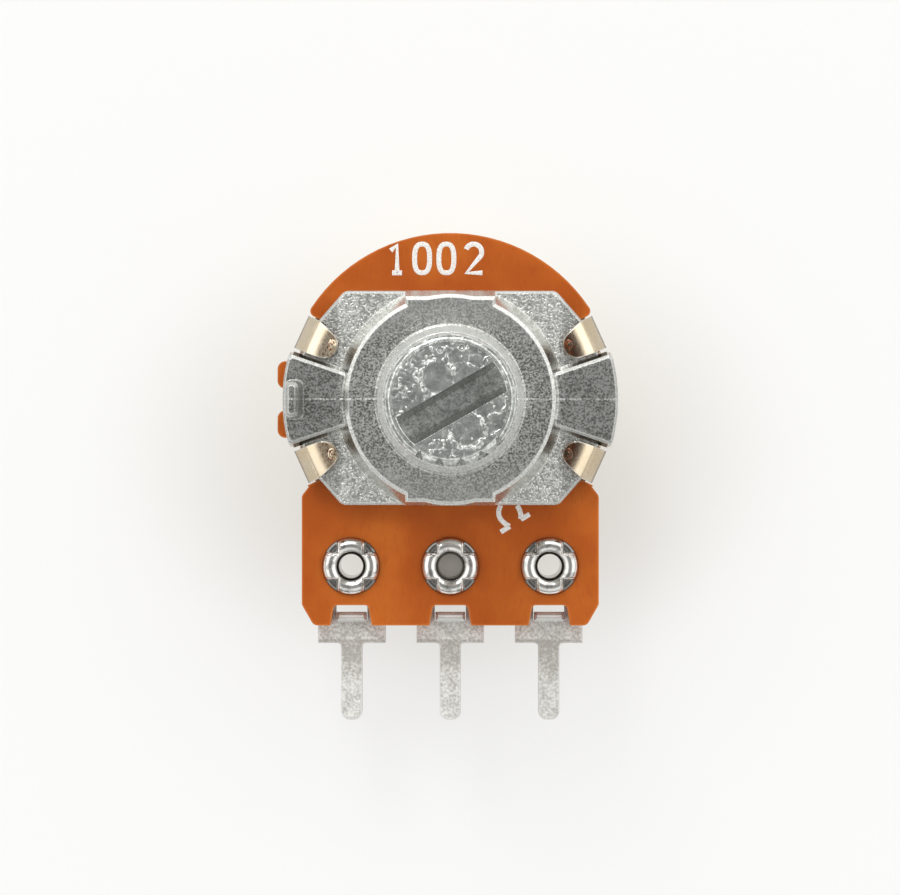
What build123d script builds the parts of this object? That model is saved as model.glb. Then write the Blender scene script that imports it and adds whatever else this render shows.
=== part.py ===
from build123d import *
import math
import os

# Rotary potentiometer of the 16 mm class, single gang, with a knurled shaft and three board pins.
# Millimetres. The origin is on the shaft's axis, in the plane of the boss face that seats on a panel.
# +Z points along the shaft to its tip and -Y points to the terminals.
# The shaft is modelled at its clockwise stop, seen from the shaft's tip.

# Levels along the axis, from the boss face back to the cover
PLATE_THICKNESS = 2.0
BOARD_THICKNESS = 1.3
PRINT_THICKNESS = 0.04
COVER_DEPTH = 5.7

# Cast plate with its bush
PLATE_INSET = 0.02
PLATE_TOP_Y = 5.44
PLATE_BOTTOM_Y = -5.28
SEAT_DROP = 0.95
WING_DROP = 0.35
WING_ROOT_HALF = 1.52
WING_EDGE_ANGLE = 18.7
WING_DRAFT = 17.0
BOSS_RADIUS = 5.2
BOSS_SLOPE = 0.5
BOSS_PAD_HALF = 2.24
BOSS_PAD_TOP_Y = 5.08
BOSS_PAD_BOTTOM_Y = -5.04
CORNER_CUT_ANGLE = 41.0
CORNER_CUT_DISTANCE = 7.56
PLATE_EDGE_BREAK = 0.11
PLATE_CORNER_ROUND = 0.5
WING_CORNER_BREAK = 0.18
RING_RECESS_RADIUS = 4.3
RING_RECESS_DEPTH = 1.0
BUSH_DIAMETER = 7.0
BUSH_LENGTH = 7.0
BUSH_BORE = 4.8
BUSH_CHAMFER = 0.3
BUSH_FOOT_ROUND = 0.5
BORE_CHAMFER = 0.25
LUG_CENTRE_X = -7.78
LUG_THICKNESS = 0.92
LUG_WIDTH = 1.98
LUG_HEIGHT = 2.2
LUG_DRAFT = 2.5
LUG_ROUND = 0.3
LUG_EDGE_BREAK = 0.16

# Shaft
SHAFT_REACH = 15.0
HEAD_DIAMETER = 6.0
HEAD_GAP = 0.1
COLLAR_LENGTH = 0.8
TIP_CHAMFER = 0.36
KNURL_TEETH = 18
KNURL_DEPTH = 0.34
KNURL_GROOVE_WIDTH = 0.62
JOURNAL_CLEARANCE = 0.04
SLOT_MOUTH = 1.48
SLOT_FLOOR = 0.94
SLOT_DEPTH = 6.2
SLOT_OFFSET = 0.22
EJECTOR_MARK_RADIUS = 0.72
EJECTOR_MARK_DEPTH = 0.09
EJECTOR_MARK_OFFSETS = (-1.12, 1.61)
GROOVE_DIAMETER = 3.5
TAIL_SHOULDER_DROP = 0.95
TAIL_DIAMETER = 3.6
TAIL_FLATS = 2.7
STAKE_HEIGHT = 0.5
STAKE_DIAMETER = 4.4

# Retaining ring
RING_THICKNESS = 0.4
RING_OUTER_DIAMETER = 6.8
RING_GAP_CLEARANCE = 0.05
RING_MOUTH = 3.2

# Rotor and wiper
TRAVEL = 300.0
ROTOR_RADIUS = 5.4
ROTOR_THICKNESS = 1.3
ARM_INNER_RADIUS = 5.3
ARM_OUTER_RADIUS = 7.1
ARM_LENGTH = 3.0
STOP_GAP = 0.02
WIPER_THICKNESS = 0.2
WIPER_INNER_RADIUS = 2.55
WIPER_OUTER_RADIUS = 4.35
WIPER_ARM_WIDTH = 0.34
WIPER_ARM_GAP = 0.16
WIPER_CONTACT_GAP = 0.02
WIPER_HEEL = 1.3
WIPER_TONGUE_WIDTH = 0.8
WIPER_TRACK_FINGERS = 3
COLLECTOR_FINGERS = 2

# Board and its print
BOARD_RADIUS = 8.39
BOARD_HALF_WIDTH = 7.48
BOARD_BOTTOM_Y = -11.38
BOARD_SHOULDER_Y = -4.85
BOARD_CORNER_X = 0.6
BOARD_CORNER_Y = 1.05
BOARD_ROUND = 0.35
BOARD_HOLE_RADIUS = 2.9
EAR_STEP = 0.31
EAR_HALF = 1.93
EAR_NOTCH_HALF = 0.55
EAR_NOTCH_DEPTH = 0.34
EAR_ROUND = 0.4
FOOT_NOTCH_MOUTH = 2.1
FOOT_NOTCH_TOP = 1.74
FOOT_NOTCH_DEPTH = 1.02
FOOT_NOTCH_ROUND = 0.22
TRACK_RADIUS = 5.8
TRACK_WIDTH = 1.4
TRACK_SWEEP = 284.0
COLLECTOR_RADIUS = 3.6
COLLECTOR_WIDTH = 1.0
LEAD_WIDTH = 1.0
LEAD_PAD_SIZE = 2.6
END_PAD_ANGLE = 18.0

# Terminals and eyelets
TERMINAL_PITCH = 5.0
TERMINAL_THICKNESS = 0.38
EYELET_Y = -8.39
TERMINAL_HEAD_RADIUS = 1.5
TERMINAL_HALF_WIDTH = 1.71
TERMINAL_FOOT_Y = -12.35
PIN_HALF_WIDTH = 0.53
PIN_TIP_Y = -16.25
PIN_ROUND = 0.22
TAB_WIDTH = 1.5
TAB_EDGE_ROUND = 0.1
TAB_FRONT_Y = -10.77
TAB_LENGTH = 1.1
TAB_BEND_RADIUS = 0.12
TAB_WINDOW_MARGIN = 0.04
EYELET_TUBE_RADIUS = 0.96
EYELET_BORE_BACK = 0.57
EYELET_BORE_FRONT = 0.8
EYELET_HOLE_CLEARANCE = 0.03
EYELET_BACK_FLANGE_RADIUS = 1.3
EYELET_BACK_FLANGE = 0.22
PETAL_RADIUS = 1.46
PETAL_CREST_RADIUS = 1.12
PETAL_CREST_HALF = 0.14
PETAL_CREST = 0.44
PETAL_LIP = 0.22
PETAL_BULGE = 0.08
PETAL_HALF_WIDTH = 0.62
CORNER_CREST_RADIUS = 1.05
CORNER_CREST = 0.27

# Cover, pressed from sheet
COVER_INSET = 0.39
COVER_SHEET = 0.35
COVER_ROUND = 0.8
COVER_ROUND_STEP = 30
CLAW_ANGLE = 24.5
CLAW_WIDTH = 1.75
CLAW_BULGE = 0.27
CLAW_FOLD_RADIUS = 0.68
CLAW_HUMP = 0.2
CLAW_REACH = 2.08
CLAW_TIP_RADIUS = 0.7
CLAW_TIP_SKEW = 0.1
CLAW_SEAT_CLEARANCE = 0.22
CLAW_SLOT_DEPTH_CLEARANCE = 0.2
CLAW_SLOT_WING_CLEARANCE = 0.3
CLAW_SLOT_FAR_CLEARANCE = 0.08
CLAW_SLOT_MOUTH_ROUND = 0.3
LEAD_WINDOW_HALF = 6.4
LEAD_WINDOW_HEIGHT = 1.1
STOP_TAB_WIDTH = 2.2
STOP_TAB_Y = -6.2
STOP_TAB_HEIGHT = 2.4

# Worked out from the sizes above
BOARD_FRONT = -PLATE_THICKNESS
BOARD_BACK = BOARD_FRONT - BOARD_THICKNESS
PRINT_BACK = BOARD_BACK - PRINT_THICKNESS
COVER_BACK = BOARD_BACK - COVER_DEPTH
TERMINAL_BACK = PRINT_BACK - TERMINAL_THICKNESS
RECESS_FLOOR = BOARD_FRONT + RING_RECESS_DEPTH
RING_FRONT = RECESS_FLOOR - RING_GAP_CLEARANCE
RING_BACK = RING_FRONT - RING_THICKNESS
ROTOR_FRONT = BOARD_BACK - TAIL_SHOULDER_DROP
ROTOR_BACK = ROTOR_FRONT - ROTOR_THICKNESS
ARM_BACK = ROTOR_FRONT - ARM_LENGTH
PLATE_RADIUS = BOARD_RADIUS - PLATE_INSET
EAR_REACH = BOARD_RADIUS + EAR_STEP
EAR_NOTCH_REACH = BOARD_RADIUS - EAR_NOTCH_DEPTH
COVER_RADIUS = BOARD_RADIUS - COVER_INSET
EYELET_HOLE_RADIUS = EYELET_TUBE_RADIUS + EYELET_HOLE_CLEARANCE
CLAW_TOP = -SEAT_DROP + COVER_SHEET
CLAW_OUTER = COVER_RADIUS + CLAW_BULGE
CLAW_TIP_DISTANCE = CLAW_OUTER - CLAW_REACH
CLAW_EDGE_DISTANCE = CLAW_OUTER - COVER_SHEET - CLAW_SEAT_CLEARANCE
CLAW_AZIMUTHS = (CLAW_ANGLE, 180 - CLAW_ANGLE, 180 + CLAW_ANGLE, -CLAW_ANGLE)
TERMINAL_XS = {"left": -TERMINAL_PITCH, "middle": 0.0, "right": TERMINAL_PITCH}
# The wiper points to +Y and the slot lies along X at mid travel; the rest pose is half the travel clockwise.
REST_TURN = Rot(0, 0, -TRAVEL / 2)
BIG = 40.0


def prism(sketch, low, high, taper=0.0):
    """The sketch, drawn in XY, raised from one level to another."""
    return extrude(Pos(0, 0, low) * sketch, amount=high - low, dir=(0, 0, 1), taper=taper)


def ring(inner, outer):
    return Circle(outer) - Circle(inner)


def beyond(azimuth, distance):
    """The half-plane farther than a distance from the axis, in the direction of an azimuth."""
    return Rot(0, 0, azimuth) * Pos(distance + BIG / 2, 0) * Rectangle(BIG, BIG)


def sector(azimuth, half_angle):
    """A wedge from the axis, wide enough for every radius here."""
    tip = (BIG, BIG * math.tan(math.radians(half_angle)))
    return Rot(0, 0, azimuth) * Polygon((0, 0), tip, (tip[0], -tip[1]), align=None)


def bent_strip(points, radii, thickness):
    """Section of a folded sheet: a path along one face, thickened to its left."""
    path = FilletPolyline(*points, radius=radii)
    return make_face(offset(path, amount=thickness, side=Side.LEFT, closed=True))


def level_edges(part, level):
    """The edges of a solid that lie in one horizontal plane."""
    return part.edges().filter_by(
        lambda e: abs(e.bounding_box().min.Z - level) < 1e-4 and abs(e.bounding_box().max.Z - level) < 1e-4
    )


# Cast plate with its bush


def wing_wedge(side):
    """One wing of the plate, a wedge that widens outwards past the plate's rim."""
    spread = math.tan(math.radians(WING_EDGE_ANGLE))
    reach = PLATE_RADIUS + 1
    tip_half = WING_ROOT_HALF + (reach - BOSS_RADIUS) * spread
    root = BOSS_RADIUS / 2
    root_half = WING_ROOT_HALF - root * spread
    wedge = Polygon((root, -root_half), (reach, -tip_half), (reach, tip_half), (root, root_half), align=None)
    return Rot(0, 0, 0 if side > 0 else 180) * wedge


def make_wing(side):
    low = -SEAT_DROP - PLATE_EDGE_BREAK
    wing = prism(wing_wedge(side), low, -WING_DROP, taper=WING_DRAFT)
    wing &= prism(Circle(PLATE_RADIUS), low, 0)
    outer = wing.edges().filter_by(lambda e: abs(e.center().X) > PLATE_RADIUS - 1)
    wing = chamfer(outer.filter_by(lambda e: e.bounding_box().size.Z > 0.1), WING_CORNER_BREAK)
    return chamfer(level_edges(wing, -WING_DROP), PLATE_EDGE_BREAK)


def plate_outline():
    height = PLATE_TOP_Y - PLATE_BOTTOM_Y
    middle = (PLATE_TOP_Y + PLATE_BOTTOM_Y) / 2
    body = Circle(PLATE_RADIUS) & (Pos(0, middle) * Rectangle(BIG, height))
    for azimuth in (CORNER_CUT_ANGLE, 180 - CORNER_CUT_ANGLE, 180 + CORNER_CUT_ANGLE, -CORNER_CUT_ANGLE):
        body -= beyond(azimuth, CORNER_CUT_DISTANCE)
    for azimuth in CLAW_AZIMUTHS:
        body -= beyond(azimuth, CLAW_EDGE_DISTANCE)
    corners = body.vertices().filter_by(lambda v: min(PLATE_TOP_Y - v.Y, v.Y - PLATE_BOTTOM_Y) < 1e-4)
    body = fillet(corners, PLATE_CORNER_ROUND)
    return body


def make_boss():
    """The raised round seat of the plate, drafted all round, with a flat pad across it above and below."""
    boss = Pos(0, 0, -SEAT_DROP / 2) * Cone(BOSS_RADIUS + BOSS_SLOPE, BOSS_RADIUS, SEAT_DROP)
    section = Polygon(
        (BOSS_PAD_TOP_Y, 0),
        (BOSS_PAD_BOTTOM_Y, 0),
        (BOSS_PAD_BOTTOM_Y - BOSS_SLOPE, -SEAT_DROP),
        (BOSS_PAD_TOP_Y + BOSS_SLOPE, -SEAT_DROP),
        align=None,
    )
    boss += extrude(Plane.YZ * section, amount=BOSS_PAD_HALF, both=True)
    return chamfer(level_edges(boss, 0), PLATE_EDGE_BREAK)


def make_lug():
    """The upright lug on the left wing that stops the part from turning in its panel."""
    blank = Pos(LUG_CENTRE_X, 0) * Rectangle(LUG_THICKNESS, LUG_WIDTH)
    lug = prism(blank, -SEAT_DROP, LUG_HEIGHT, taper=LUG_DRAFT)
    lug = fillet(lug.edges().filter_by(lambda e: e.bounding_box().size.Z > 1), LUG_ROUND)
    lug = chamfer(level_edges(lug, LUG_HEIGHT), LUG_EDGE_BREAK)
    return lug & prism(Circle(PLATE_RADIUS), -SEAT_DROP, LUG_HEIGHT)


def make_bush():
    """The bush with the plate's raised seat round its foot."""
    radius = BUSH_DIAMETER / 2
    bush = make_boss() + prism(Circle(radius), BOARD_FRONT, BUSH_LENGTH)
    bush = chamfer(level_edges(bush, BUSH_LENGTH), BUSH_CHAMFER)
    foot = Pos(0, 0, BUSH_FOOT_ROUND / 2) * Cone(radius + BUSH_FOOT_ROUND / 2, radius, BUSH_FOOT_ROUND)
    return bush + foot


def make_bush_plate():
    outline = plate_outline()
    base = prism(outline, BOARD_FRONT, -SEAT_DROP)
    base = chamfer(level_edges(base, -SEAT_DROP), PLATE_EDGE_BREAK)
    plate = base
    for side in (1, -1):
        wing = make_wing(side)
        foot = Pos(0, 0, SEAT_DROP) * section(wing, Plane.XY.offset(-SEAT_DROP))
        plate += wing + prism(foot, BOARD_FRONT, -SEAT_DROP)
        outline += foot
    plate += make_lug()
    plate += make_bush() & prism(outline, BOARD_FRONT, BUSH_LENGTH)
    plate -= prism(Circle(RING_RECESS_RADIUS), BOARD_FRONT, RECESS_FLOOR)
    bore = prism(Circle(BUSH_BORE / 2), RECESS_FLOOR - 1, BUSH_LENGTH + 1)
    mouth = Pos(0, 0, BUSH_LENGTH - BORE_CHAMFER / 2) * Cone(
        BUSH_BORE / 2, BUSH_BORE / 2 + BORE_CHAMFER, BORE_CHAMFER
    )
    return plate - bore - mouth


# Shaft and what turns with it


def tail_sketch(clearance=0.0):
    flats = Rectangle(BIG, TAIL_FLATS + 2 * clearance)
    return Circle(TAIL_DIAMETER / 2 + clearance) & flats


def knurl_sketch():
    crest = HEAD_DIAMETER / 2
    groove = Polygon(
        (crest - KNURL_DEPTH, 0),
        (crest + KNURL_DEPTH, KNURL_GROOVE_WIDTH),
        (crest + KNURL_DEPTH, -KNURL_GROOVE_WIDTH),
        align=None,
    )
    step = 360 / KNURL_TEETH
    outline = Circle(crest)
    for tooth in range(KNURL_TEETH):
        outline -= Rot(0, 0, (tooth + 0.5) * step) * groove
    return outline


def make_shaft():
    crest = HEAD_DIAMETER / 2
    head_low = BUSH_LENGTH + HEAD_GAP
    knurl_low = head_low + COLLAR_LENGTH
    journal = BUSH_BORE / 2 - JOURNAL_CLEARANCE
    shaft = prism(Circle(journal), ROTOR_FRONT, head_low)
    shaft += prism(Circle(crest), head_low, knurl_low)
    knurl = prism(knurl_sketch(), knurl_low, SHAFT_REACH)
    blank = prism(Circle(crest), knurl_low, SHAFT_REACH)
    shaft += knurl & chamfer(level_edges(blank, SHAFT_REACH), TIP_CHAMFER)
    slot = make_face(
        Polyline(
            (SLOT_OFFSET - SLOT_MOUTH / 2, SHAFT_REACH),
            (SLOT_OFFSET - SLOT_FLOOR / 2, SHAFT_REACH - SLOT_DEPTH),
            (SLOT_OFFSET + SLOT_FLOOR / 2, SHAFT_REACH - SLOT_DEPTH),
            (SLOT_OFFSET + SLOT_MOUTH / 2, SHAFT_REACH),
            close=True,
        )
    )
    shaft -= extrude(Plane.YZ * slot, amount=BIG / 2, both=True)
    for offset_y in EJECTOR_MARK_OFFSETS:
        mark = Pos(0, offset_y) * Circle(EJECTOR_MARK_RADIUS)
        shaft -= prism(mark, SHAFT_REACH - EJECTOR_MARK_DEPTH, SHAFT_REACH + 1)
    groove = ring(GROOVE_DIAMETER / 2, journal + 1)
    shaft -= prism(groove, RING_BACK, RING_FRONT)
    shaft += prism(tail_sketch(), ROTOR_BACK, ROTOR_FRONT)
    stake = prism(Circle(STAKE_DIAMETER / 2), ROTOR_BACK - STAKE_HEIGHT, ROTOR_BACK)
    shaft += chamfer(level_edges(stake, ROTOR_BACK - STAKE_HEIGHT), STAKE_HEIGHT / 2)
    return REST_TURN * shaft


def make_retaining_ring():
    outline = ring(GROOVE_DIAMETER / 2, RING_OUTER_DIAMETER / 2)
    outline -= Pos(0, -BIG / 2) * Rectangle(RING_MOUTH, BIG)
    return REST_TURN * prism(outline, RING_BACK, RING_FRONT)


def stop_arm_sketch():
    """The rotor's stop arm: its side faces meet the cover's tab flat at both ends of the travel."""
    swing = TRAVEL / 2
    arm = ring(ARM_INNER_RADIUS, ARM_OUTER_RADIUS) & sector(90, 45)
    keep = STOP_TAB_WIDTH / 2 + STOP_GAP
    blocked = Pos(keep - BIG / 2, 0) * Rectangle(BIG, BIG)
    arm -= Rot(0, 0, swing) * blocked
    arm -= Rot(0, 0, -swing) * mirror(blocked, about=Plane.YZ)
    return arm


def make_rotor():
    rotor = prism(Circle(ROTOR_RADIUS), ROTOR_BACK, ROTOR_FRONT)
    rotor += prism(stop_arm_sketch(), ARM_BACK, ROTOR_FRONT)
    rotor -= prism(tail_sketch(), ROTOR_BACK - 1, ROTOR_FRONT + 1)
    return REST_TURN * rotor


def wiper_fingers(at_y, count):
    """Parallel spring fingers along X, side by side, that rise from the wiper's base to a printed ring."""
    base = ROTOR_FRONT + WIPER_THICKNESS
    crest = PRINT_BACK - WIPER_CONTACT_GAP - WIPER_THICKNESS
    path = [(-WIPER_HEEL, ROTOR_FRONT), (0, crest), (crest - base, base)]
    strip = bent_strip(path, [WIPER_THICKNESS], WIPER_THICKNESS)
    pitch = WIPER_ARM_WIDTH + WIPER_ARM_GAP
    finger = extrude(Plane.XZ * strip, amount=WIPER_ARM_WIDTH / 2, both=True)
    return [Pos(0, at_y + (index - (count - 1) / 2) * pitch, 0) * finger for index in range(count)]


def make_wiper():
    base = ring(WIPER_INNER_RADIUS, WIPER_OUTER_RADIUS)
    tongue_top = TRACK_RADIUS + WIPER_TRACK_FINGERS / 2 * (WIPER_ARM_WIDTH + WIPER_ARM_GAP)
    tongue = Rectangle(WIPER_TONGUE_WIDTH, tongue_top - COLLECTOR_RADIUS, align=(Align.MAX, Align.MIN))
    base += Pos(-WIPER_HEEL + 0.1, COLLECTOR_RADIUS) * tongue
    span = COLLECTOR_FINGERS * (WIPER_ARM_WIDTH + WIPER_ARM_GAP) + WIPER_ARM_GAP
    gap = Rectangle(WIPER_HEEL * 1.7, span, align=(Align.MIN, Align.CENTER))
    base -= Pos(-WIPER_HEEL, -COLLECTOR_RADIUS) * gap
    wiper = prism(base, ROTOR_FRONT, ROTOR_FRONT + WIPER_THICKNESS)
    wiper += wiper_fingers(TRACK_RADIUS, WIPER_TRACK_FINGERS)
    wiper += wiper_fingers(-COLLECTOR_RADIUS, COLLECTOR_FINGERS)
    return REST_TURN * wiper


# Board and its print


def board_outline():
    body = Circle(BOARD_RADIUS)
    half = BOARD_HALF_WIDTH
    low = Polygon(
        (-half, BOARD_SHOULDER_Y),
        (-half, BOARD_BOTTOM_Y + BOARD_CORNER_Y),
        (-half + BOARD_CORNER_X, BOARD_BOTTOM_Y),
        (half - BOARD_CORNER_X, BOARD_BOTTOM_Y),
        (half, BOARD_BOTTOM_Y + BOARD_CORNER_Y),
        (half, BOARD_SHOULDER_Y),
        (half / 2, 0),
        (-half / 2, 0),
        align=None,
    )
    low = fillet(low.vertices().filter_by(lambda v: v.Y < -1), BOARD_ROUND)
    body += low
    ears = Pos(-EAR_REACH / 2, 0) * Rectangle(EAR_REACH, 2 * EAR_HALF)
    ears -= Pos(-EAR_NOTCH_REACH - BIG / 2, 0) * Rectangle(BIG, 2 * EAR_NOTCH_HALF)
    ears = fillet(ears.vertices().filter_by(lambda v: v.X < -EAR_REACH + 0.01), EAR_ROUND)
    body += ears
    body -= Pos(-EAR_NOTCH_REACH - BIG / 2, 0) * Rectangle(BIG, 2 * EAR_NOTCH_HALF)
    return body


def claw_notch(azimuth):
    """The gap in the board's rim that a claw passes through, wider on the wing's side."""
    depth = COVER_RADIUS - COVER_SHEET - CLAW_SLOT_DEPTH_CLEARANCE
    wing_side = CLAW_WIDTH / 2 + CLAW_SLOT_WING_CLEARANCE
    far_side = CLAW_WIDTH / 2 + CLAW_SLOT_FAR_CLEARANCE
    notch = Polygon((depth, -wing_side), (BIG, -wing_side), (BIG, far_side), (depth, far_side), align=None)
    if math.sin(2 * math.radians(azimuth)) < 0:
        notch = mirror(notch, about=Plane.XZ)
    return Rot(0, 0, azimuth) * notch


def foot_notch():
    """The notch in the board's lower edge that takes a terminal's locking tab."""
    notch = Polygon(
        (-FOOT_NOTCH_MOUTH / 2, BOARD_BOTTOM_Y),
        (-FOOT_NOTCH_TOP / 2, BOARD_BOTTOM_Y + FOOT_NOTCH_DEPTH),
        (FOOT_NOTCH_TOP / 2, BOARD_BOTTOM_Y + FOOT_NOTCH_DEPTH),
        (FOOT_NOTCH_MOUTH / 2, BOARD_BOTTOM_Y),
        align=None,
    )
    return fillet(notch.vertices().filter_by(lambda v: v.Y > BOARD_BOTTOM_Y + 0.1), FOOT_NOTCH_ROUND)


def make_board():
    outline = board_outline()
    for azimuth in CLAW_AZIMUTHS:
        outline -= claw_notch(azimuth)
    rim = outline.vertices().filter_by(lambda v: abs(math.hypot(v.X, v.Y) - BOARD_RADIUS) < 1e-4)
    outline = fillet(rim.group_by(Axis.Y)[-1], CLAW_SLOT_MOUTH_ROUND)
    outline -= Circle(BOARD_HOLE_RADIUS)
    for x in TERMINAL_XS.values():
        outline -= Pos(x, 0) * foot_notch()
        outline -= eyelet_hole(x)
    return prism(outline, BOARD_BACK, BOARD_FRONT)


def track_ring():
    return ring(TRACK_RADIUS - TRACK_WIDTH / 2, TRACK_RADIUS + TRACK_WIDTH / 2)


def track_sketch():
    return track_ring() - sector(-90, (360 - TRACK_SWEEP) / 2)


def make_resistance_track():
    return prism(track_sketch(), PRINT_BACK, BOARD_BACK)


def eyelet_hole(x):
    return Pos(x, EYELET_Y) * Circle(EYELET_HOLE_RADIUS)


def lead_pad(x):
    return Pos(x, EYELET_Y) * Rectangle(LEAD_PAD_SIZE, LEAD_PAD_SIZE)


def make_collector():
    outline = ring(COLLECTOR_RADIUS - COLLECTOR_WIDTH / 2, COLLECTOR_RADIUS + COLLECTOR_WIDTH / 2)
    outline += Pos(0, (EYELET_Y - COLLECTOR_RADIUS) / 2) * Rectangle(LEAD_WIDTH, -EYELET_Y - COLLECTOR_RADIUS)
    outline += lead_pad(0)
    return prism(outline - eyelet_hole(0), PRINT_BACK, BOARD_BACK)


def make_end_lead(side):
    """The printed conductor from one end of the resistance track to its terminal."""
    middle = -90 + side * (360 - TRACK_SWEEP - END_PAD_ANGLE) / 2
    pad = track_ring() & sector(middle, END_PAD_ANGLE / 2)
    x = side * TERMINAL_PITCH
    angle = math.radians(middle)
    run = Line((TRACK_RADIUS * math.cos(angle), TRACK_RADIUS * math.sin(angle)), (x, EYELET_Y))
    heading = math.degrees(math.atan2((run % 0).Y, (run % 0).X))
    lead = Pos(run @ 0.5) * Rot(0, 0, heading) * Rectangle(run.length, LEAD_WIDTH)
    outline = pad + (lead - track_sketch()) + lead_pad(x)
    return prism(outline - eyelet_hole(x), PRINT_BACK, BOARD_BACK)


# Terminals and eyelets


def terminal_outline():
    head = Pos(0, EYELET_Y) * Circle(TERMINAL_HEAD_RADIUS)
    shoulder = TERMINAL_HALF_WIDTH
    neck_y = EYELET_Y - TERMINAL_HEAD_RADIUS * 0.6
    plate = Pos(0, (neck_y + TERMINAL_FOOT_Y) / 2) * Rectangle(2 * shoulder, neck_y - TERMINAL_FOOT_Y)
    plate = fillet(plate.vertices().filter_by(lambda v: v.Y > neck_y - 0.01), 0.4)
    length = TERMINAL_FOOT_Y - PIN_TIP_Y
    pin = Pos(0, TERMINAL_FOOT_Y - length / 2 + 0.25) * Rectangle(2 * PIN_HALF_WIDTH, length + 0.5)
    pin = fillet(pin.vertices().filter_by(lambda v: v.Y < TERMINAL_FOOT_Y - 1), PIN_HALF_WIDTH * 0.85)
    outline = plate + pin
    inner = outline.vertices().filter_by(
        lambda v: abs(v.Y - TERMINAL_FOOT_Y) < 0.01 and abs(abs(v.X) - PIN_HALF_WIDTH) < 0.01
    )
    outline = fillet(inner, PIN_ROUND)
    return outline + head


def make_terminal(x):
    outline = terminal_outline()
    outline -= eyelet_hole(0)
    bend = TAB_BEND_RADIUS + TERMINAL_THICKNESS
    window_low = TAB_FRONT_Y - bend
    window_high = TAB_FRONT_Y + TAB_LENGTH
    window = Pos(0, (window_low + window_high) / 2) * Rectangle(
        TAB_WIDTH + 2 * TAB_WINDOW_MARGIN, window_high - window_low
    )
    terminal = prism(outline - window, TERMINAL_BACK, PRINT_BACK)
    tip = PRINT_BACK + TAB_LENGTH - TERMINAL_THICKNESS
    path = [(window_low - 0.05, TERMINAL_BACK), (TAB_FRONT_Y, TERMINAL_BACK), (TAB_FRONT_Y, tip)]
    strip = bent_strip(path, [bend], TERMINAL_THICKNESS)
    tab = extrude(Plane.YZ * strip, amount=TAB_WIDTH / 2, both=True)
    terminal += chamfer(level_edges(tab, tip), TAB_EDGE_ROUND)
    return Pos(x, 0, 0) * terminal


def make_petals():
    """The four rolled petals: a ring with a rounded crest, kept only along a cross."""
    crest = BOARD_FRONT + PETAL_CREST
    section = Polygon(
        (EYELET_BORE_BACK, BOARD_FRONT),
        (PETAL_RADIUS, BOARD_FRONT),
        (PETAL_RADIUS - PETAL_BULGE, BOARD_FRONT + PETAL_LIP),
        (PETAL_CREST_RADIUS + PETAL_CREST_HALF, crest),
        (PETAL_CREST_RADIUS - PETAL_CREST_HALF, crest),
        (EYELET_BORE_FRONT, BOARD_FRONT + PETAL_LIP),
        (EYELET_BORE_BACK, BOARD_FRONT + PETAL_LIP),
        align=None,
    )
    bar = Rectangle(BIG, 2 * PETAL_HALF_WIDTH)
    return revolve(Plane.XZ * section, Axis.Z) & prism(bar + Rot(0, 0, 90) * bar, BOARD_FRONT, crest)


def make_eyelet(x):
    """A hollow rivet: a flat head behind the terminal, and four petals rolled over the board's front."""
    back = TERMINAL_BACK - EYELET_BACK_FLANGE
    lip = BOARD_FRONT + PETAL_LIP
    shell = Polygon(
        (0, lip),
        (0, back),
        (EYELET_BACK_FLANGE_RADIUS, back),
        (EYELET_BACK_FLANGE_RADIUS, TERMINAL_BACK),
        (EYELET_TUBE_RADIUS, TERMINAL_BACK),
        (EYELET_TUBE_RADIUS, BOARD_FRONT),
        (PETAL_RADIUS, BOARD_FRONT),
        (CORNER_CREST_RADIUS, BOARD_FRONT + CORNER_CREST),
        (EYELET_BORE_FRONT, lip),
        align=None,
    )
    eyelet = revolve(Plane.XZ * shell, Axis.Z) + make_petals()
    bore = Pos(0, 0, (lip + back) / 2) * Cone(EYELET_BORE_BACK, EYELET_BORE_FRONT, lip - back)
    return Pos(x, EYELET_Y, 0) * (eyelet - bore)


# Cover


def claw_outline():
    """Plan of a claw's folded end, which narrows to a round tip."""
    straight = CLAW_TIP_DISTANCE + 2 * CLAW_TIP_RADIUS
    length = CLAW_OUTER - straight + COVER_SHEET
    body = Pos(straight + length / 2, 0) * Rectangle(length, CLAW_WIDTH)
    tip = Pos(CLAW_TIP_DISTANCE + CLAW_TIP_RADIUS, CLAW_TIP_SKEW) * Circle(CLAW_TIP_RADIUS)
    return make_hull(body.edges() + tip.edges())


def make_claw(azimuth):
    """One claw: it rises from the cover's rim and folds over the plate's corner seat."""
    root = BOARD_BACK - LEAD_WINDOW_HEIGHT
    path = [
        (COVER_RADIUS, root),
        (COVER_RADIUS, BOARD_BACK),
        (CLAW_OUTER, CLAW_TOP + CLAW_HUMP),
        (CLAW_TIP_DISTANCE, CLAW_TOP),
    ]
    strip = bent_strip(path, [1.0, CLAW_FOLD_RADIUS], COVER_SHEET)
    claw = extrude(Plane.XZ * strip, amount=CLAW_WIDTH / 2, both=True)
    claw &= prism(claw_outline(), root, 0)
    if math.sin(2 * math.radians(azimuth)) > 0:
        claw = mirror(claw, about=Plane.XZ)
    return Rot(0, 0, azimuth) * claw


def make_stop_tab():
    """The tab pushed in from the cover's back that the rotor's arm stops against."""
    fold = TAB_BEND_RADIUS + COVER_SHEET
    path = [
        (STOP_TAB_Y - COVER_SHEET - fold, COVER_BACK),
        (STOP_TAB_Y, COVER_BACK),
        (STOP_TAB_Y, COVER_BACK + STOP_TAB_HEIGHT),
    ]
    return extrude(Plane.YZ * bent_strip(path, [fold], COVER_SHEET), amount=STOP_TAB_WIDTH / 2, both=True)


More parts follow.
